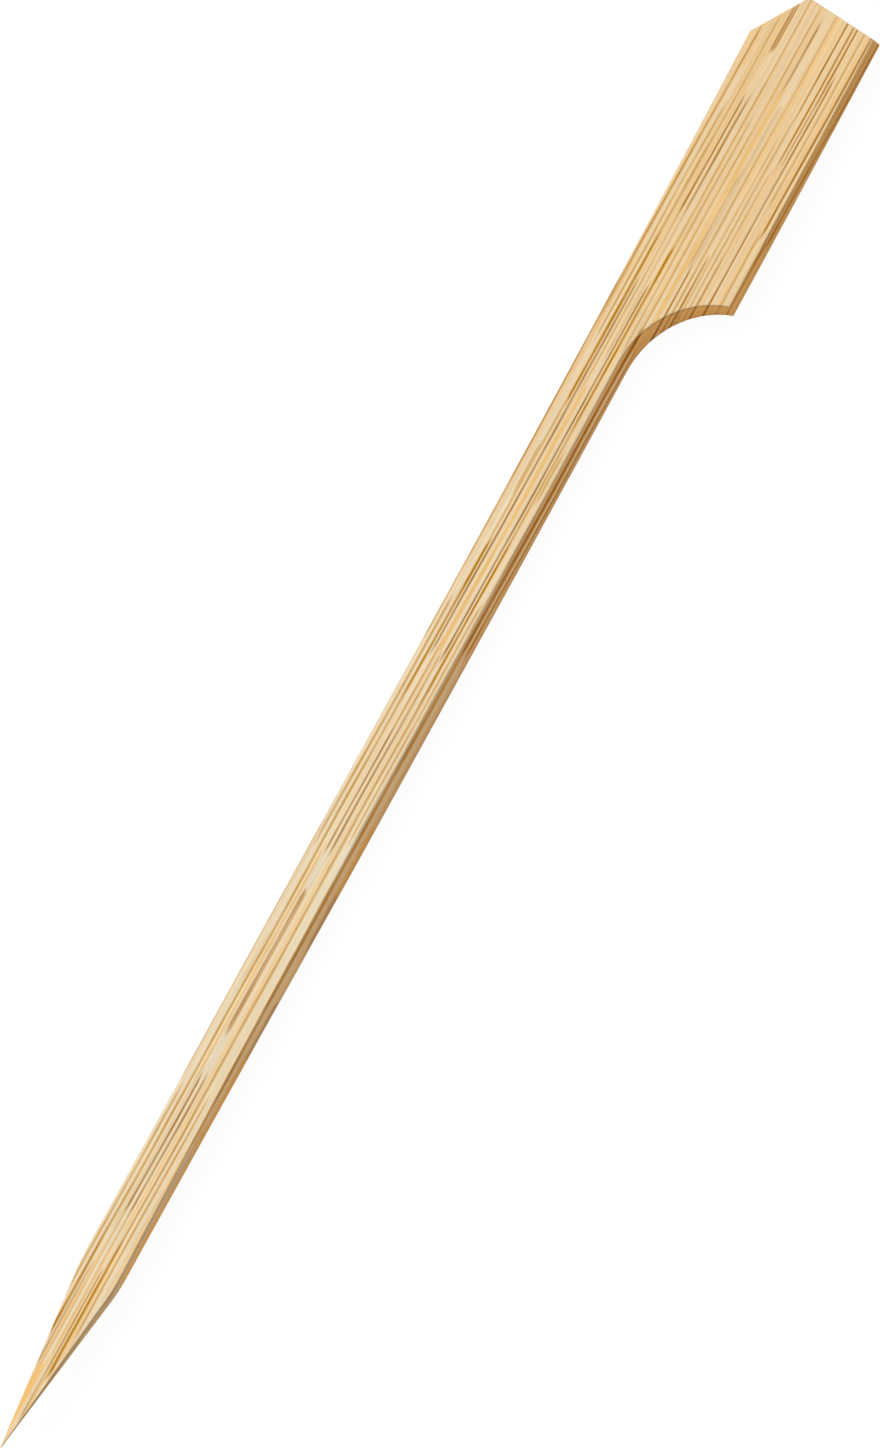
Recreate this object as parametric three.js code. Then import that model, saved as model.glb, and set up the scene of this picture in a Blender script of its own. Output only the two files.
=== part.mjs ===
// Bamboo flag skewer, cut in one piece from a flat strip of bamboo.
// Millimetres, +Z up. It lies on its back with the point toward -X and the flag toward +X.
// The straight edge of the strip faces +Y and the flag stands out toward -Y.
// A station is a distance from the tip along the grain.
// A reach is a distance from the straight edge toward -Y.
import * as THREE from 'three';

// The strip
const LENGTH = 150;
const THICKNESS = 3;
const ARRIS_RADIUS = 0.12;

// The flag and its end cuts
const FLAG_LENGTH = 29.6;
const FLAG_WIDTH = 10.8;
const FLAG_END_WIDTH = 11.05;
const END_DROP = 1.2;
const END_SHEAR = 0.55;
const CLIP_LENGTH = 5;
const CLIP_WIDTH = 3.6;
const FLAG_LEAN = 0.36;

// The scooped shoulder between the stem and the flag
const SCOOP_RADIUS = 9;
const NECK_WIDTH = 3.9;

// The stem, which is planed thinner on its back toward the point
const STEM_WIDTH = 3.8;
const PLANED_LENGTH = 43;
const PLANING_CURVE = 1.3;
const ROOT_WIDTH = 4.16;
const ROOT_THICKNESS = 1.5;

// The point, pared from both edges, with soft corners where the paring starts
const POINT_LENGTH = 18;
const OUTER_POINT_LENGTH = 16.8;
const PARING_EASE = 1;
const TIP_REACH = 1.97;
const TIP_WIDTH = 0.06;
const TIP_THICKNESS = 0.15;

// The slight sideways set that the strip takes as it dries
const SET_LENGTH = 68;
const SIDEWAYS_SET = 0.68;

// Steps along the curves
const EASE_STEPS = 8;
const PLANED_STEPS = 12;
const STEM_STEPS = 5;
const SCOOP_STEPS = 18;
const FLAG_STEPS = 5;
const ARRIS_STEPS = 3;

// Stations that follow from the sizes above
const apexStation = LENGTH - END_SHEAR * (1 - ARRIS_RADIUS / THICKNESS);
const clipStation = apexStation - CLIP_LENGTH;
const endCornerStation = apexStation - END_DROP;
const shoulderStation = LENGTH - FLAG_LENGTH;
const planedStation = POINT_LENGTH + PLANED_LENGTH;

// The scoop is an arc tangent to the stem that runs out at the corner of the flag
const scoopSweep = Math.acos(1 - (FLAG_WIDTH - NECK_WIDTH) / SCOOP_RADIUS);
const neckStation = shoulderStation - SCOOP_RADIUS * Math.sin(scoopSweep);

// How far a value has come along a stretch, from 0 at its start to 1 at its end
const share = (value, start, end) => THREE.MathUtils.clamp((value - start) / (end - start), 0, 1);

// Width of the stem: broad at the root of the point, waisted, and flared a little into the neck
function stemWidth(station) {
  const broadening = (ROOT_WIDTH - STEM_WIDTH) * share(station, planedStation, POINT_LENGTH) ** 2;
  const flare = (NECK_WIDTH - STEM_WIDTH) * share(station, planedStation, neckStation);
  return STEM_WIDTH + broadening + flare;
}

// Thickness: full in the flag and stem, planed toward the root, then running out to the tip
function thicknessAt(station) {
  if (station < POINT_LENGTH) {
    return THREE.MathUtils.lerp(TIP_THICKNESS, ROOT_THICKNESS, station / POINT_LENGTH);
  }
  const planed = share(station, planedStation, POINT_LENGTH) ** PLANING_CURVE;
  return THREE.MathUtils.lerp(THICKNESS, ROOT_THICKNESS, planed);
}

// Rounding of the long edges, which gets finer as the point runs out
const arrisAt = (station) => ARRIS_RADIUS * Math.min(1, thicknessAt(station) / ROOT_THICKNESS);

// Sideways shift of the grain, toward +Y, growing along the flag end
const setAt = (station) => SIDEWAYS_SET * share(station, LENGTH - SET_LENGTH, LENGTH) ** 2;

// Lean of the outer cuts: full on the flag's outer edge, fading to none along the scoop
const leanAt = (reach) => FLAG_LEAN * share(reach, NECK_WIDTH, FLAG_WIDTH);

// What the paring takes off an edge: a straight taper from the tip that eases out at its root
function pared(station, length, taken) {
  const slope = taken / length;
  const toRoot = length - station;
  if (Math.abs(toRoot) < PARING_EASE) {
    return (slope * (toRoot + PARING_EASE) ** 2) / (4 * PARING_EASE);
  }
  return slope * Math.max(toRoot, 0);
}

const corner = (station, reach, shear = 0) => ({ station, reach, shear });

// Stations shared by both edges of the point and stem, from the tip to the neck
function stemStations() {
  const stations = [0];
  const easeStart = OUTER_POINT_LENGTH - PARING_EASE;
  const easeEnd = POINT_LENGTH + PARING_EASE;
  for (let step = 0; step < EASE_STEPS; step++) {
    stations.push(THREE.MathUtils.lerp(easeStart, easeEnd, step / EASE_STEPS));
  }
  for (let step = 0; step < PLANED_STEPS; step++) {
    stations.push(THREE.MathUtils.lerp(easeEnd, planedStation, step / PLANED_STEPS));
  }
  for (let step = 0; step <= STEM_STEPS; step++) {
    stations.push(THREE.MathUtils.lerp(planedStation, neckStation, step / STEM_STEPS));
  }
  return stations;
}

// Outline of the front face, counterclockwise seen from the front, starting at the tip
function outline(stations) {
  const outerTaken = ROOT_WIDTH - TIP_REACH - TIP_WIDTH / 2;
  const straightTaken = TIP_REACH - TIP_WIDTH / 2;
  const outerEdge = stations.map((station) => {
    return corner(station, stemWidth(station) - pared(station, OUTER_POINT_LENGTH, outerTaken));
  });
  const straightEdge = stations.map((station) => {
    return corner(station, pared(station, POINT_LENGTH, straightTaken));
  });

  const flag = [];
  for (let step = 1; step <= SCOOP_STEPS; step++) {
    const turn = (scoopSweep * step) / SCOOP_STEPS;
    const station = neckStation + SCOOP_RADIUS * Math.sin(turn);
    flag.push(corner(station, NECK_WIDTH + SCOOP_RADIUS * (1 - Math.cos(turn))));
  }
  for (let step = 1; step < FLAG_STEPS; step++) {
    const along = step / FLAG_STEPS;
    const station = THREE.MathUtils.lerp(shoulderStation, endCornerStation, along);
    flag.push(corner(station, THREE.MathUtils.lerp(FLAG_WIDTH, FLAG_END_WIDTH, along)));
  }
  flag.push(corner(endCornerStation, FLAG_END_WIDTH, END_SHEAR));
  flag.push(corner(apexStation, CLIP_WIDTH, END_SHEAR));
  flag.push(corner(clipStation, 0, END_SHEAR));
  for (let step = 1; step < FLAG_STEPS; step++) {
    flag.push(corner(THREE.MathUtils.lerp(clipStation, neckStation, step / FLAG_STEPS), 0));
  }
  return [...outerEdge, ...flag, ...straightEdge.reverse()];
}

// Direction at each corner that keeps an inset parallel to both of its edges
function insetDirections(points) {
  const edgeNormal = (from, to) => {
    const along = new THREE.Vector2(to.station - from.station, to.reach - from.reach).normalize();
    return new THREE.Vector2(along.y, -along.x);
  };
  return points.map((point, i) => {
    const before = edgeNormal(points.at(i - 1), point);
    const after = edgeNormal(point, points[(i + 1) % points.length]);
    return before.clone().add(after).divideScalar(1 + before.dot(after));
  });
}

// Levels from the back face to the front face, each with its inset and its rise from that face
function levels() {
  const quarter = [];
  for (let step = 0; step <= ARRIS_STEPS; step++) {
    const turn = (Math.PI / 2) * (step / ARRIS_STEPS);
    quarter.push({ inset: 1 - Math.sin(turn), rise: 1 - Math.cos(turn) });
  }
  const back = quarter.map((level) => ({ ...level, front: false }));
  const front = quarter.map((level) => ({ ...level, front: true })).reverse();
  return [...back, ...front];
}

// One point of the surface: inset from the outline, set at its height, leaned, sheared and bent
function surfacePoint(point, direction, level) {
  const radius = arrisAt(point.station);
  const backHeight = THICKNESS - thicknessAt(point.station);
  const height = level.front ? THICKNESS - radius * level.rise : backHeight + radius * level.rise;
  const depth = 1 - height / THICKNESS;
  const inset = radius * level.inset;
  const station = point.station + direction.x * inset + point.shear * depth;
  const reach = point.reach + direction.y * inset - leanAt(point.reach) * depth;
  return new THREE.Vector3(station, setAt(point.station) - reach, height);
}

// The skewer is lofted level by level from its back face to its front face
function skewerGeometry() {
  const stations = stemStations();
  const points = outline(stations);
  const directions = insetDirections(points);
  const ringAt = (level) => points.map((point, i) => surfacePoint(point, directions[i], level));
  const rings = levels().map(ringAt);
  const count = points.length;
  const indices = [];

  // Walls and rounded arrises between neighbouring rings
  for (let ring = 0; ring < rings.length - 1; ring++) {
    for (let i = 0; i < count; i++) {
      const next = (i + 1) % count;
      const low = ring * count;
      const high = low + count;
      indices.push(low + i, low + next, high + next);
      indices.push(low + i, high + next, high + i);
    }
  }

  // Front and back faces: strips across the point and stem, then the flag as one flat polygon
  const neck = stations.length - 1;
  const capTriangles = (ring) => {
    const triangles = [];
    for (let i = 0; i < neck; i++) {
      const opposite = count - 1 - i;
      triangles.push([i, i + 1, opposite - 1], [i, opposite - 1, opposite]);
    }
    const contour = ring.slice(neck, count - neck).map((p) => new THREE.Vector2(p.x, p.y));
    for (const triangle of THREE.ShapeUtils.triangulateShape(contour, [])) {
      triangles.push(triangle.map((i) => i + neck));
    }
    return triangles;
  };
  const lastRing = (rings.length - 1) * count;
  for (const [a, b, c] of capTriangles(rings.at(-1))) {
    indices.push(lastRing + a, lastRing + b, lastRing + c);
  }
  for (const [a, b, c] of capTriangles(rings[0])) {
    indices.push(a, c, b);
  }

  const geometry = new THREE.BufferGeometry().setFromPoints(rings.flat());
  geometry.setIndex(indices);

  // The origin is the middle of the underside
  geometry.computeBoundingBox();
  const middle = geometry.boundingBox.getCenter(new THREE.Vector3());
  geometry.translate(-middle.x, -middle.y, 0);
  geometry.computeVertexNormals();
  return geometry;
}

const bamboo = new THREE.MeshStandardMaterial({ color: 0xe2c899, roughness: 0.6, metalness: 0 });

const skewer = new THREE.Mesh(skewerGeometry(), bamboo);
skewer.name = 'flag_skewer';

const part = new THREE.Group();
part.add(skewer);

export default part;
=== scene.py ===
import math

import bmesh
import bpy
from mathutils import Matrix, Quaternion, Vector, noise


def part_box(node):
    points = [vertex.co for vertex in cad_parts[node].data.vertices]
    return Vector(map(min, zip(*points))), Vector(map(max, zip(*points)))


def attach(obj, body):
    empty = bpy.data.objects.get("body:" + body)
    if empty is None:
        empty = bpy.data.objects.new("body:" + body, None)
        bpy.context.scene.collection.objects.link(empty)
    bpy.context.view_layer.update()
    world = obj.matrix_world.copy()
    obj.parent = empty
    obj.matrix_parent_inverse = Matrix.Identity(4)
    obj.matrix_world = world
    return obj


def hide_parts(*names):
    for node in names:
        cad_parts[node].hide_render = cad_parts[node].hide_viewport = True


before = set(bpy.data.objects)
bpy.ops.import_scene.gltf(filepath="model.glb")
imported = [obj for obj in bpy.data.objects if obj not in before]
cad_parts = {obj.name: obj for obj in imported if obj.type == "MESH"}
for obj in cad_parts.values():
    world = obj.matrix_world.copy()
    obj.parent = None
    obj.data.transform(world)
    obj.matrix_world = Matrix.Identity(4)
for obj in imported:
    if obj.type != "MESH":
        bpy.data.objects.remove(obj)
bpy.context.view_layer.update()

# The view. The skewer lies on a white table and is seen from above, 23 degrees off the vertical,
# turned so that its point is at the lower left of the picture and its flag at the upper right.
MM = 0.001
VIEW_AZIMUTH = math.radians(-19.76)
VIEW_ELEVATION = math.radians(67.09)
VIEW_ROLL = math.radians(-42.92)
VIEW_DISTANCE = 719.19 * MM
VIEW_TARGET = Vector((0.18, 0.11, 1.5)) * MM
LENS_MM = 200
SENSOR_MM = 36

toward_camera = Vector((
    math.sin(VIEW_AZIMUTH) * math.cos(VIEW_ELEVATION),
    -math.cos(VIEW_AZIMUTH) * math.cos(VIEW_ELEVATION),
    math.sin(VIEW_ELEVATION),
))
camera = bpy.data.objects.new("camera", bpy.data.cameras.new("camera"))
camera.data.lens = LENS_MM
camera.data.sensor_width = SENSOR_MM
camera.data.clip_start = 10 * MM
camera.location = VIEW_TARGET + toward_camera * VIEW_DISTANCE
camera.rotation_mode = "QUATERNION"
camera.rotation_quaternion = toward_camera.to_track_quat("Z", "Y") @ Quaternion((0, 0, 1), VIEW_ROLL)
bpy.context.scene.collection.objects.link(camera)
bpy.context.scene.camera = camera

# The skewer. One flat strip of split bamboo, milled to the outline of flag, scooped shoulder and
# stem, then planed thinner on its back and pared to a point. It is bare wood, with no joint or glue.

# The sizes, in millimetres. A station runs from the tip along the grain, a reach from the straight
# edge across it, and a depth from the front face down.
low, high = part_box("flag_skewer")
length = (high.x - low.x) / MM
half_length = length / 2
thickness = (high.z - low.z) / MM

# A copy of the solid, with its doubled corners merged and no edges left inside its flat faces
MERGE = 0.0001
FLAT_ANGLE = math.radians(0.05)
strip = bmesh.new()
strip.from_mesh(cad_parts["flag_skewer"].data)
bmesh.ops.scale(strip, vec=Vector((1, 1, 1)) / MM, verts=strip.verts)
bmesh.ops.remove_doubles(strip, verts=strip.verts, dist=MERGE)
bmesh.ops.dissolve_limit(strip, angle_limit=FLAT_ANGLE, verts=strip.verts, edges=strip.edges)

# The straight edge of the stem, where a reach starts
straight_edge = max(vert.co.y for vert in strip.verts if vert.co.x < 0)

# How far apart the faces are cut in each direction, and how near a corner a cut runs through it
PITCH_ALONG = 1.0
PITCH_ACROSS = 0.09
PITCH_DEEP = 0.1
CUT_SNAP = 0.02


def slice_strip(direction, pitch):
    """Cuts the faces by planes a pitch apart, so that the surface can follow the fibres."""
    places = [vert.co.dot(direction) for vert in strip.verts]
    start, span = min(places), max(places) - min(places)
    count = round(span / pitch)
    for step in range(1, count):
        bmesh.ops.bisect_plane(
            strip, geom=strip.verts[:] + strip.edges[:] + strip.faces[:], dist=CUT_SNAP,
            plane_co=direction * (start + span * step / count), plane_no=direction,
        )


slice_strip(Vector((1, 0, 0)), PITCH_ALONG)
slice_strip(Vector((0, 1, 0)), PITCH_ACROSS)
slice_strip(Vector((0, 0, 1)), PITCH_DEEP)

# The strip was split a fifth of a degree off the grain, and the layers of fibres lean through its
# thickness, so a line of fibres that starts at one place on the front crosses the sides at a slant.
GRAIN_DRIFT = 0.0037
DRIFT_START = 20
LAYER_LEAN = 0.4
WANDERS = ((0.03, 0.11, 0.4), (0.018, 0.29, 1.9))

# Each tone of fibre: its colour, and how far its groove sinks below the wood beside it
TONES = {
    "pale": ("e4d5b8", 0),
    "grey": ("cfc3ac", 0),
    "gold": ("f2c070", 0),
    "orange": ("eabd76", 0),
    "cream": ("f6deb0", 0),
    "tan": ("c89c54", 0.006),
    "amber": ("b67e00", 0.012),
    "brown": ("ae7822", 0.018),
    "umber": ("a67c44", 0.022),
    "dark": ("ac7828", 0.026),
    "deep": ("ae7000", 0.026),
}

# The lines of fibres, from the straight edge outward: the place across the grain, half the width,
# and each stretch of the line with its first and last station, its tone and its strength.
FIBRES = (
    (-0.28, 0.11, (114, 145, "amber", 0.7)),
    (0.07, 0.12, (122, 141, "pale", 0.6)),
    (0.35, 0.11, (13, 36, "tan", 0.8), (61, 86, "tan", 0.85), (113, 137, "tan", 0.8)),
    (0.64, 0.14, (96.5, 102, "tan", 0.8)),
    (0.6, 0.15, (46.3, 51.5, "tan", 0.25)),
    (0.86, 0.12, (10.5, 21, "amber", 1), (21, 76, "tan", 0.9), (76, 92, "amber", 1)),
    (0.8, 0.11, (92, 106, "tan", 0.6)),
    (0.87, 0.12, (106, 123.5, "amber", 1), (123.5, 147, "tan", 0.8)),
    (1.22, 0.1, (7.5, 18, "umber", 0.7), (22, 37, "tan", 0.2), (37, 60.5, "orange", 0.9),
     (61, 75, "orange", 0.3), (76.5, 80.2, "pale", 0.8), (80.5, 119.5, "umber", 0.9)),
    (1.35, 0.06, (22, 60, "tan", 0.3), (76.5, 80.2, "pale", 0.7)),
    (1.54, 0.1, (6, 24, "tan", 0.55), (24, 37, "umber", 1)),
    (1.7, 0.3, (1, 8.5, "gold", 1)),
    (1.4, 0.12, (8.5, 20, "gold", 0.5)),
    (1.59, 0.1, (60.5, 73, "umber", 0.9), (73, 82, "tan", 0.8), (108, 127, "tan", 0.6),
     (127, 138.6, "dark", 1)),
    (1.8, 0.27, (37.4, 41.6, "pale", 0.9), (56.4, 60, "pale", 0.8)),
    (1.72, 0.16, (42, 56, "brown", 0.85)),
    (1.78, 0.18, (81, 108, "orange", 1), (143.4, 149.5, "brown", 0.85)),
    (1.6, 0.06, (42, 56, "umber", 0.5), (143.4, 149.5, "dark", 0.6)),
    (1.86, 0.05, (42, 56, "umber", 0.6)),
    (1.93, 0.06, (143.4, 149.5, "dark", 0.8)),
    (2.02, 0.11, (9, 24, "tan", 0.55), (24, 37, "umber", 0.85)),
    (2.07, 0.11, (60.5, 74, "umber", 0.85), (74, 81, "tan", 0.9), (112, 127, "tan", 0.5),
     (127, 138.6, "dark", 0.85)),
    (2.12, 0.08, (2, 9, "pale", 0.7), (9, 20, "gold", 0.5)),
    (2.38, 0.1, (3.5, 8, "umber", 0.6), (8, 17.5, "umber", 0.9), (22, 60, "orange", 0.6),
     (60, 75, "orange", 0.3), (76.5, 80, "pale", 0.8), (80.2, 119, "umber", 1)),
    (2.52, 0.08, (4, 18, "gold", 0.6)),
    (2.6, 0.12, (108, 124, "orange", 0.7)),
    (2.73, 0.12, (7, 21, "amber", 1), (21, 76, "tan", 0.85), (76, 92, "amber", 1),
     (92, 105, "tan", 0.85), (105, 123, "amber", 0.95)),
    (2.78, 0.12, (123, 149.5, "tan", 0.75)),
    (3.02, 0.14, (96.5, 101.5, "tan", 0.85)),
    (2.93, 0.08, (9, 20, "gold", 0.5)),
    (3.21, 0.1, (11.5, 35.5, "tan", 0.85), (62, 86, "tan", 0.75)),
    (3.28, 0.1, (112.5, 137, "tan", 0.75)),
    (3.52, 0.07, (83, 97, "umber", 0.65)),
    (3.57, 0.07, (62, 83, "umber", 0.45)),
    (3.66, 0.07, (44, 59, "gold", 0.6)),
    (3.76, 0.07, (35, 44, "gold", 0.7)),
    (3.83, 0.09, (15.5, 31, "tan", 0.5)),
    (3.94, 0.11, (31.5, 45, "amber", 0.7), (115, 149.5, "tan", 0.75)),
    (3.89, 0.08, (27, 35, "gold", 0.8)),
    (4.03, 0.07, (17, 27, "gold", 0.8)),
    (3.88, 0.14, (45, 57, "amber", 0.7), (57, 82, "amber", 0.65)),
    (3.93, 0.16, (82, 115, "deep", 1)),
    (4.24, 0.13, (33, 52, "pale", 0.5), (64, 81, "pale", 0.7)),
    (4.28, 0.14, (17, 31, "grey", 0.8)),
    (4.15, 0.09, (82, 113, "cream", 0.9)),
    (4.34, 0.08, (82, 114, "brown", 0.8)),
    (4.5, 0.17, (32, 41, "amber", 0.35)),
    (4.62, 0.2, (18, 32, "orange", 0.9), (32, 41, "orange", 1), (41, 46, "umber", 0.5),
     (52, 57.5, "umber", 0.5), (57.5, 64, "orange", 1), (64, 82, "orange", 0.15), (82, 110, "orange", 0.55),
     (110, 141, "orange", 0.9)),
    (4.63, 0.1, (141, 147.2, "dark", 0.8)),
    (4.94, 0.1, (122, 132, "tan", 0.6)),
    (5.2, 0.22, (122.5, 139, "tan", 0.35)),
    (5.2, 0.11, (112, 122.5, "brown", 1)),
    (5.97, 0.16, (130, 150, "gold", 0.6)),
    (5.7, 0.13, (112, 138, "tan", 0.75), (138, 150, "amber", 0.45)),
    (6.15, 0.11, (112, 123.5, "brown", 0.9)),
    (6.47, 0.11, (116, 136, "tan", 0.5)),
    (6.92, 0.11, (112, 139, "tan", 0.65)),
    (6.99, 0.11, (139, 149.5, "brown", 0.95)),
    (7.42, 0.12, (112, 124, "brown", 0.8)),
    (7.45, 0.12, (124, 133, "tan", 0.65)),
    (7.7, 0.1, (134, 149.5, "brown", 1)),
    (8.08, 0.09, (134, 140, "brown", 0.6)),
    (8.1, 0.1, (140, 149.5, "dark", 0.95)),
    (8.42, 0.11, (112, 143, "brown", 0.85)),
    (8.93, 0.11, (130, 149.5, "tan", 0.75)),
    (9.42, 0.12, (112, 127.5, "tan", 0.75)),
    (9.7, 0.11, (127, 149.5, "brown", 0.85)),
    (10.2, 0.12, (140, 149.5, "umber", 0.5)),
    (10.31, 0.14, (127, 140, "umber", 0.5)),
    (10.4, 0.12, (112, 127, "amber", 0.8)),
    (10.56, 0.13, (127, 138, "amber", 0.85), (138, 149.5, "amber", 0.7)),
)

# How far a line's ends fade, and the ends of a wide patch of fibres, which stop more abruptly
FADE = 0.6
PATCH_FADE = 0.2
NARROWEST_PATCH = 0.16

# The sides of a line soften over this share of half its width
SIDE_SOFTNESS = 0.5


def wander(station, sine):
    """How far the lines of fibres stray sideways at a station."""
    return sum(size * sine(station * rate + phase) for size, rate, phase in WANDERS)


def smooth(value, start, end):
    """Rises smoothly from 0 at the start to 1 at the end."""
    part = min(max((value - start) / (end - start), 0), 1)
    return part * part * (3 - 2 * part)


def fade_of(half_width):
    """How far from its end a line or patch of this half width starts to fade."""
    return PATCH_FADE if half_width >= NARROWEST_PATCH else FADE


def groove(station, place):
    """Depth of the grooves that the darker fibres leave in the wood."""
    depth = 0
    for line_place, half_width, *stretches in FIBRES:
        off = abs(place - line_place)
        if off > half_width * (1 + SIDE_SOFTNESS):
            continue
        near = 1 - smooth(off, half_width * (1 - SIDE_SOFTNESS), half_width * (1 + SIDE_SOFTNESS))
        fade = fade_of(half_width)
        for first, last, tone, strength in stretches:
            within = smooth(station, first - fade, first + fade) - smooth(station, last - fade, last + fade)
            depth += near * within * strength * TONES[tone][1]
    return depth


# The edges where a flat face meets the rounding of an arris keep the flat face flat to the eye.
# The rounding is in three steps of a twelfth of a turn, with half a step at each end.
ARRIS_KINK = math.radians(15)
KINK_PLAY = math.radians(7)
WIDEST_ROUND = math.radians(40)
strip.normal_update()
for edge in strip.edges:
    angle = edge.calc_face_angle(0)
    edge.smooth = abs(angle - ARRIS_KINK) > KINK_PLAY and angle < WIDEST_ROUND

# The wood beside the lines is ribbed too, more finely
RIB_DEPTH = 0.006
RIBS_PER_MM = 2.9
RIB_DRIFT = 0.03

# The strip is pressed in along its grooves and ribs, and each corner keeps how far it is on a cut
# side, and how far on the rounding between a side and a face, which is rubbed pale and carries a painted
# highlight
cut_layer = strip.verts.layers.float.new("cut")
rubbed_highlight_layer = strip.verts.layers.float.new("rubbed")
moves = []
for vert in strip.verts:
    station = vert.co.x + half_length
    depth = thickness - vert.co.z
    reach = straight_edge - vert.co.y
    place = reach - GRAIN_DRIFT * (station - DRIFT_START) + LAYER_LEAN * depth + wander(station, math.sin)
    rib = 0.5 + 0.5 * noise.noise(Vector((station * RIB_DRIFT, reach * RIBS_PER_MM, depth * RIBS_PER_MM)))
    flatness = vert.normal.z ** 2
    vert[cut_layer] = 1 - flatness
    vert[rubbed_highlight_layer] = 4 * flatness * (1 - flatness)
    moves.append(vert.normal * (groove(station, place) + RIB_DEPTH * rib))
for vert, move in zip(strip.verts, moves):
    vert.co -= move
bmesh.ops.scale(strip, vec=Vector((1, 1, 1)) * MM, verts=strip.verts)
for face in strip.faces:
    face.smooth = True

skewer = bpy.data.objects.new("skewer", bpy.data.meshes.new("skewer"))
strip.to_mesh(skewer.data)
strip.free()
bpy.context.scene.collection.objects.link(skewer)


class Socket:
    """A socket of a finish's nodes, which can stand in a sum."""

    def __init__(self, finish, socket):
        self.finish = finish
        self.socket = socket

    def __add__(self, other):
        return self.finish.maths("ADD", self, other)

    __radd__ = __add__

    def __sub__(self, other):
        return self.finish.maths("SUBTRACT", self, other)

    def __rsub__(self, other):
        return self.finish.maths("SUBTRACT", other, self)

    def __mul__(self, other):
        return self.finish.maths("MULTIPLY", self, other)

    __rmul__ = __mul__

    def __abs__(self):
        return self.finish.maths("ABSOLUTE", self, 0)


class Finish:
    """A material, put together node by node."""

    def __init__(self, name):
        self.material = bpy.data.materials.new(name)
        self.material.use_nodes = True
        self.material.node_tree.nodes.clear()

    def node(self, kind, settings, inputs):
        """Adds a node: its settings first, then a value or a link for each of its sockets."""
        nodes, links = self.material.node_tree.nodes, self.material.node_tree.links
        made = nodes.new(kind)
        for name, value in settings.items():
            if name == "stops":
                self.set_stops(made.color_ramp, value)
            else:
                setattr(made, name, value)
        for key, value in inputs.items():
            if isinstance(value, Socket):
                links.new(value.socket, made.inputs[key])
            else:
                made.inputs[key].default_value = value
        return [Socket(self, socket) for socket in made.outputs]

    def set_stops(self, ramp, stops):
        """Gives a ramp its stops, each a position and a colour with its alpha."""
        while len(ramp.elements) < len(stops):
            ramp.elements.new(1)
        ramp.elements.foreach_set("position", [position for position, colour in stops])
        ramp.elements.foreach_set("color", [part for position, colour in stops for part in colour])

    def maths(self, operation, first, second):
        """One step of a sum."""
        return self.node("ShaderNodeMath", {"operation": operation}, {0: first, 1: second})[0]

    def sine(self, value):
        """The sine of a value."""
        return self.maths("SINE", value, 0)

    def vector(self, x, y, z):
        """Three values as one."""
        return self.node("ShaderNodeCombineXYZ", {}, {0: x, 1: y, 2: z})[0]

    def spread(self, value, low, high, to_low=0, to_high=1):
        """Carries a value smoothly from one span to another."""
        settings = {"interpolation_type": "SMOOTHSTEP", "clamp": False}
        inputs = {"Value": value, "From Min": low, "From Max": high, "To Min": to_low, "To Max": to_high}
        return self.node("ShaderNodeMapRange", settings, inputs)[0]

    def blend(self, share, first, second, way="MIX"):
        """Mixes two colours, which go in at sockets 6 and 7."""
        inputs = {"Factor": share, 6: first, 7: second}
        return self.node("ShaderNodeMix", {"data_type": "RGBA", "blend_type": way}, inputs)[2]

    def cloud(self, where, detail=0.0):
        """Soft noise about 0.5."""
        settings = {"normalize": True}
        inputs = {"Vector": where, "Scale": 1, "Detail": detail}
        return self.node("ShaderNodeTexNoise", settings, inputs)[0]


def colour(code, alpha=1.0):
    """The linear colour of a screen colour code."""
    parts = [int(code[i:i + 2], 16) / 255 for i in (0, 2, 4)]
    linear = [part / 12.92 if part <= 0.04045 else ((part + 0.055) / 1.055) ** 2.4 for part in parts]
    return (*linear, alpha)


def line_stops(stretches, fade):
    """The ramp stops of a line of fibres: colour by tone, alpha by strength, fading where it ends."""
    stops = []
    for i, (first, last, tone, strength) in enumerate(stretches):
        joins_before = i > 0 and first - stretches[i - 1][1] < 2 * fade
        joins_after = i + 1 < len(stretches) and stretches[i + 1][0] - last < 2 * fade
        ends = [(first + fade, strength), (last - fade, strength)]
        if not joins_before:
            ends.insert(0, (first - fade, 0))
        if not joins_after:
            ends.append((last + fade, 0))
        stops += [(min(at / length, 1), colour(TONES[tone][0], alpha)) for at, alpha in ends]
    return stops


# Bare bamboo: pale ground between the fibres, warmer at the flag and the point, with the lines of
# fibres above, fine bundles that show as dots on the end cuts, darker, drier cut sides with painted shade
# under the front face and along the point, and pale rubbed arrises with a painted highlight.
bamboo = Finish("bamboo")

# Output 3 of the coordinates is the place on the object, and output 2 of an attribute its value
position = bamboo.node("ShaderNodeTexCoord", {}, {})[3]
x, y, z = bamboo.node("ShaderNodeSeparateXYZ", {}, {0: position})
station = x * (1 / MM) + half_length
depth = thickness - z * (1 / MM)
reach = straight_edge - y * (1 / MM)
place = reach - (station - DRIFT_START) * GRAIN_DRIFT + depth * LAYER_LEAN + wander(station, bamboo.sine)

# How warm the ground is at each station, from 0 for pale to 1 for warm
PALE_WOOD = colour("eadcbe")
WARM_WOOD = colour("ebc184")
WARMTHS = (
    (0, 0.6), (9, 0.38), (18, 0.22), (24, 0.16), (60, 0.2),
    (84, 0.28), (100, 0.42), (112, 0.55), (125, 0.68),
)
warmth_stops = [(at / length, (share, share, share, 1)) for at, share in WARMTHS]
warmth = bamboo.node("ShaderNodeValToRGB", {"stops": warmth_stops}, {0: station * (1 / length)})[0]

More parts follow.
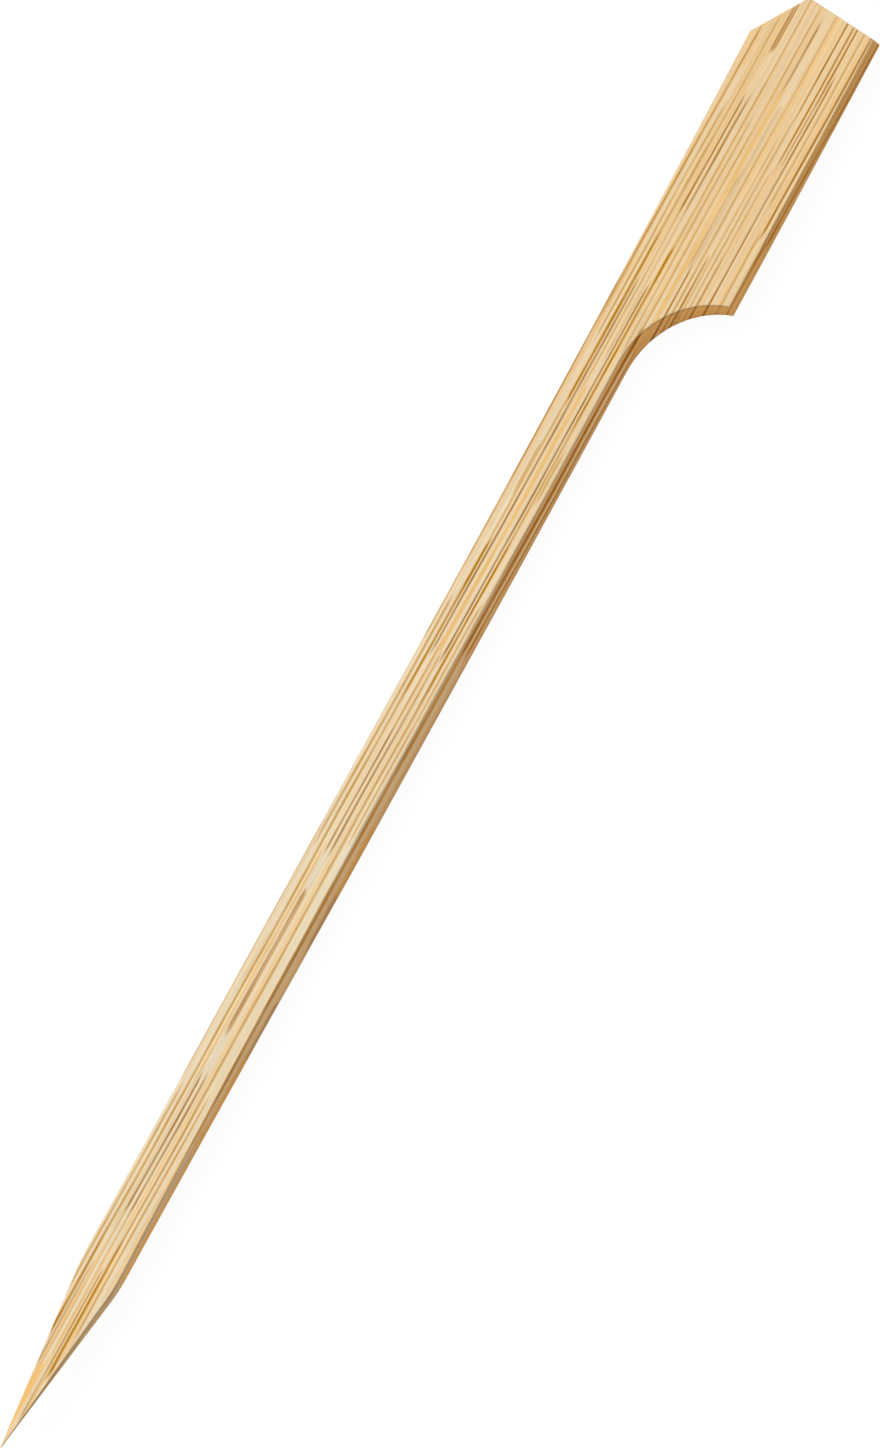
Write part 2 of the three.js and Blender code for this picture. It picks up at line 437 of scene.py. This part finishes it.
# Long bands of it are warmer or paler, and the cut sides are warmer. Soft noise keeps to its span
# nearly everywhere.
NOISE_SPAN = (0.3, 0.7)
BAND_STRETCH = 0.012
BANDS_PER_MM = 3
BAND_WARMTHS = (-0.24, 0.24)
CUT_WARMTH = 0.2
band_cloud = bamboo.cloud(bamboo.vector(station * BAND_STRETCH, place * BANDS_PER_MM, 0), 1.0)
bands = bamboo.spread(band_cloud, *NOISE_SPAN, *BAND_WARMTHS)
cut = bamboo.node("ShaderNodeAttribute", {"attribute_name": "cut"}, {})[2]
wood = bamboo.blend(warmth + bands + cut * CUT_WARMTH, PALE_WOOD, WARM_WOOD)

# From the shoulder on the sides look freshly cut
FRESH_CUT = colour("f2c57a")
FRESH_FROM = (108, 118)
wood = bamboo.blend(cut * bamboo.spread(station, *FRESH_FROM), wood, FRESH_CUT)

# Fine bundles of fibres, long and thin, so that a face along the grain shows lines and an end dots
BUNDLE = colour("cb9d5e")
BUNDLE_STRETCH = 0.03
BUNDLES_PER_MM = 3.1
BUNDLE_RIM = (0.5, 0.15)
BUNDLE_SHARE = 0.2
BUNDLE_SHARE_ON_CUTS = 0.25
bundle_place = bamboo.vector(station * BUNDLE_STRETCH, reach * BUNDLES_PER_MM, depth * BUNDLES_PER_MM)
bundles = bamboo.node("ShaderNodeTexVoronoi", {}, {"Vector": bundle_place, "Scale": 1})
bundle = bamboo.spread(bundles[0], *BUNDLE_RIM) * (cut * BUNDLE_SHARE_ON_CUTS + BUNDLE_SHARE)
wood = bamboo.blend(bundle, wood, BUNDLE)

# The lines of fibres are stronger and weaker in blotches, from a layer of the noise of their own
BLOTCH_STRETCH = 0.2
BLOTCHES_PER_MM = 1.5
BLOTCH_LAYER = 9
BLOTCH_SPAN = (0.25, 0.75)
BLOTCH_STRENGTHS = (0.8, 1.15)
blotch_place = bamboo.vector(station * BLOTCH_STRETCH, place * BLOTCHES_PER_MM, BLOTCH_LAYER)
blotches = bamboo.spread(bamboo.cloud(blotch_place, 1.0), *BLOTCH_SPAN, *BLOTCH_STRENGTHS)

# They end raggedly, and stray a little as they go
RAG_STRETCH = 0.1
RAGS_PER_MM = 6
RAG_LAYER = 2
RAGGED_END = 0.5
RAGGED_SIDE = 0.02
rag_cloud = bamboo.cloud(bamboo.vector(station * RAG_STRETCH, place * RAGS_PER_MM, RAG_LAYER))
ragged = bamboo.spread(rag_cloud, *NOISE_SPAN, -1, 1)
ragged_along = (station + ragged * RAGGED_END) * (1 / length)
ragged_place = place + ragged * RAGGED_SIDE

# The narrow ones have a brighter flank on each side
FLANK = colour("f8d8a6")
WIDEST_FLANKED = 0.15
FLANK_WIDTH = 0.16
FLANK_SHARE = 0.45


def lay_fibres(wood, off, half_width, stretches):
    """Lays one line of fibres over the wood, where off is the distance from its middle."""
    stops = line_stops(stretches, fade_of(half_width))
    tint, strength = bamboo.node("ShaderNodeValToRGB", {"stops": stops}, {0: ragged_along})
    if half_width < WIDEST_FLANKED:
        flank = bamboo.spread(off, half_width + FLANK_WIDTH, half_width)
        wood = bamboo.blend(flank * strength * FLANK_SHARE, wood, FLANK)
    near = bamboo.spread(off, half_width * (1 + SIDE_SOFTNESS), half_width * (1 - SIDE_SOFTNESS))
    return bamboo.blend(near * strength * blotches, wood, tint)


for line_place, half_width, *stretches in FIBRES:
    wood = lay_fibres(wood, abs(ragged_place - line_place), half_width, stretches)

# One line is laid bare along the straight edge, a little way down the side. It follows the edge,
# whose last stretch bends slightly sideways, and not the grain.
EDGE_PLACE = 0.06
EDGE_DEPTH = 0.3
EDGE_FIBRES = (0.14, (37, 62, "tan", 0.6), (82, 98, "tan", 0.9), (98, 119, "amber", 1))
SET_LENGTH = 68
SIDEWAYS_SET = 0.68
bend = bamboo.maths("MAXIMUM", station - (length - SET_LENGTH), 0)
from_edge = reach + ragged * RAGGED_SIDE + bend * bend * (SIDEWAYS_SET / SET_LENGTH ** 2)
off_edge = abs(from_edge - EDGE_PLACE) + bamboo.maths("MAXIMUM", depth - EDGE_DEPTH, 0)
half_width, *stretches = EDGE_FIBRES
wood = lay_fibres(wood, off_edge, half_width, stretches)

# Over it all lie hairs too fine to draw one by one
HAIR_STRETCH = 0.12
HAIRS_PER_MM = 5
HAIR_GREYS = (0.95, 1.045)
hair_place = bamboo.vector(station * HAIR_STRETCH, reach * HAIRS_PER_MM, depth * HAIRS_PER_MM)
hairs = bamboo.cloud(hair_place, 3.0)
grey = bamboo.spread(hairs, *NOISE_SPAN, *HAIR_GREYS)
wood = bamboo.blend(1, wood, bamboo.vector(grey, grey, grey), "MULTIPLY")

# The arrises are rubbed pale, and painted paler still as a highlight where their rounding catches the light
RUBBED_HIGHLIGHT = colour("f6e4c4")
RUBBED_HIGHLIGHT_SHARE = 0.4
rubbed = bamboo.node("ShaderNodeAttribute", {"attribute_name": "rubbed"}, {})[2]
wood = bamboo.blend(rubbed * RUBBED_HIGHLIGHT_SHARE, wood, RUBBED_HIGHLIGHT)

# The cut sides are darker and warmer, with greyer painted shade just under the front face and along the
# point
CUT_TINT = colour("ffebd0")
CUT_TOP_SHADE = colour("dde2e4")
CUT_TOP_SHADE_DEPTHS = (0.6, 0.1)
POINT_SIDE_SHADE = colour("e8ebed")
POINT_SIDE_SHADE_TO = (19, 16)
wood = bamboo.blend(cut, wood, CUT_TINT, "MULTIPLY")
# Painted shade along the top of the cut sides, just under the front face
wood = bamboo.blend(cut * bamboo.spread(depth, *CUT_TOP_SHADE_DEPTHS), wood, CUT_TOP_SHADE, "MULTIPLY")
# Painted shade, greyer, on the sides of the point
wood = bamboo.blend(cut * bamboo.spread(station, *POINT_SIDE_SHADE_TO), wood, POINT_SIDE_SHADE, "MULTIPLY")

# Dry, unsealed wood, with the hairs standing up a little and the bundles sunk between them
BUNDLE_SINK = 0.8
BUMP_STRENGTH = 0.5
BUMP_HEIGHT = 0.02 * MM
ROUGHNESSES = (0.48, 0.6)
CUT_ROUGHNESS = 0.15
GLOSS = 0.05
height = hairs - bundle * BUNDLE_SINK
bump_inputs = {"Strength": BUMP_STRENGTH, "Distance": BUMP_HEIGHT, "Height": height}
bump = bamboo.node("ShaderNodeBump", {}, bump_inputs)[0]
roughness = bamboo.spread(hairs, *NOISE_SPAN, *ROUGHNESSES) + cut * CUT_ROUGHNESS
surface = bamboo.node(
    "ShaderNodeBsdfPrincipled", {},
    {"Base Color": wood, "Roughness": roughness, "Specular IOR Level": GLOSS, "Normal": bump},
)[0]
bamboo.node("ShaderNodeOutputMaterial", {}, {"Surface": surface})
skewer.data.materials.append(bamboo.material)

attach(skewer, "root")
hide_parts("flag_skewer")

# The table. One wide white sheet, on which the skewer lies and its soft shadow falls. It gives back
# light as white card does, and is seen as pure white but for a faint share of the shadow.
TABLE_SPAN = 6
TABLE_WHITE = (0.8, 0.8, 0.8, 1)
SHADOW_WHITE = (0.07, 0.07, 0.07, 1)
TABLE_GLOW = 0.94

flat = bmesh.new()
bmesh.ops.create_grid(flat, x_segments=1, y_segments=1, size=TABLE_SPAN / 2)
table = bpy.data.objects.new("table", bpy.data.meshes.new("table"))
flat.to_mesh(table.data)
flat.free()
bpy.context.scene.collection.objects.link(table)


def seen_directly(finish):
    """1 on rays from the camera, a gloss or a glass, and 0 on rays that carry light."""
    rays = finish.node("ShaderNodeLightPath", {}, {})
    named = {ray.socket.name: ray for ray in rays}
    first = finish.maths("MAXIMUM", named["Is Camera Ray"], named["Is Glossy Ray"])
    return finish.maths("MAXIMUM", first, named["Is Transmission Ray"])


white_table = Finish("white_table")
plain = white_table.node("ShaderNodeBsdfDiffuse", {}, {"Color": TABLE_WHITE})[0]
shaded = white_table.node("ShaderNodeBsdfDiffuse", {}, {"Color": SHADOW_WHITE})[0]
glow = white_table.node("ShaderNodeEmission", {}, {"Strength": TABLE_GLOW})[0]
bright = white_table.node("ShaderNodeAddShader", {}, {0: shaded, 1: glow})[0]
mixed = white_table.node("ShaderNodeMixShader", {}, {0: seen_directly(white_table), 1: plain, 2: bright})[0]
white_table.node("ShaderNodeOutputMaterial", {}, {"Surface": mixed})
table.data.materials.append(white_table.material)

# The light. An even white room, and one broad soft lamp from beyond the straight edge, so that the
# front of the skewer is bright and the side toward the camera is in shade.
ROOM_LIGHT = 0.61
LAMP_POWER = 1.6
LAMP_SPREAD = math.radians(40)
LAMP_FROM = Vector((0.25, 0.7, 1))

room = bpy.data.worlds.new("room")
room.use_nodes = True
bpy.context.scene.world = room
room_nodes = room.node_tree.nodes
room_nodes["Background"].inputs["Color"].default_value = (1, 1, 1, 1)
rays = room_nodes.new("ShaderNodeLightPath")
lit = room_nodes.new("ShaderNodeMapRange")
lit.inputs["To Min"].default_value = ROOM_LIGHT
room.node_tree.links.new(rays.outputs["Is Camera Ray"], lit.inputs["Value"])
room.node_tree.links.new(lit.outputs[0], room_nodes["Background"].inputs["Strength"])

lamp = bpy.data.objects.new("lamp", bpy.data.lights.new("lamp", "SUN"))
lamp.data.energy = LAMP_POWER
lamp.data.angle = LAMP_SPREAD
lamp.rotation_mode = "QUATERNION"
lamp.rotation_quaternion = LAMP_FROM.to_track_quat("Z", "Y")
bpy.context.scene.collection.objects.link(lamp)

bpy.context.scene.view_settings.view_transform = "Standard"
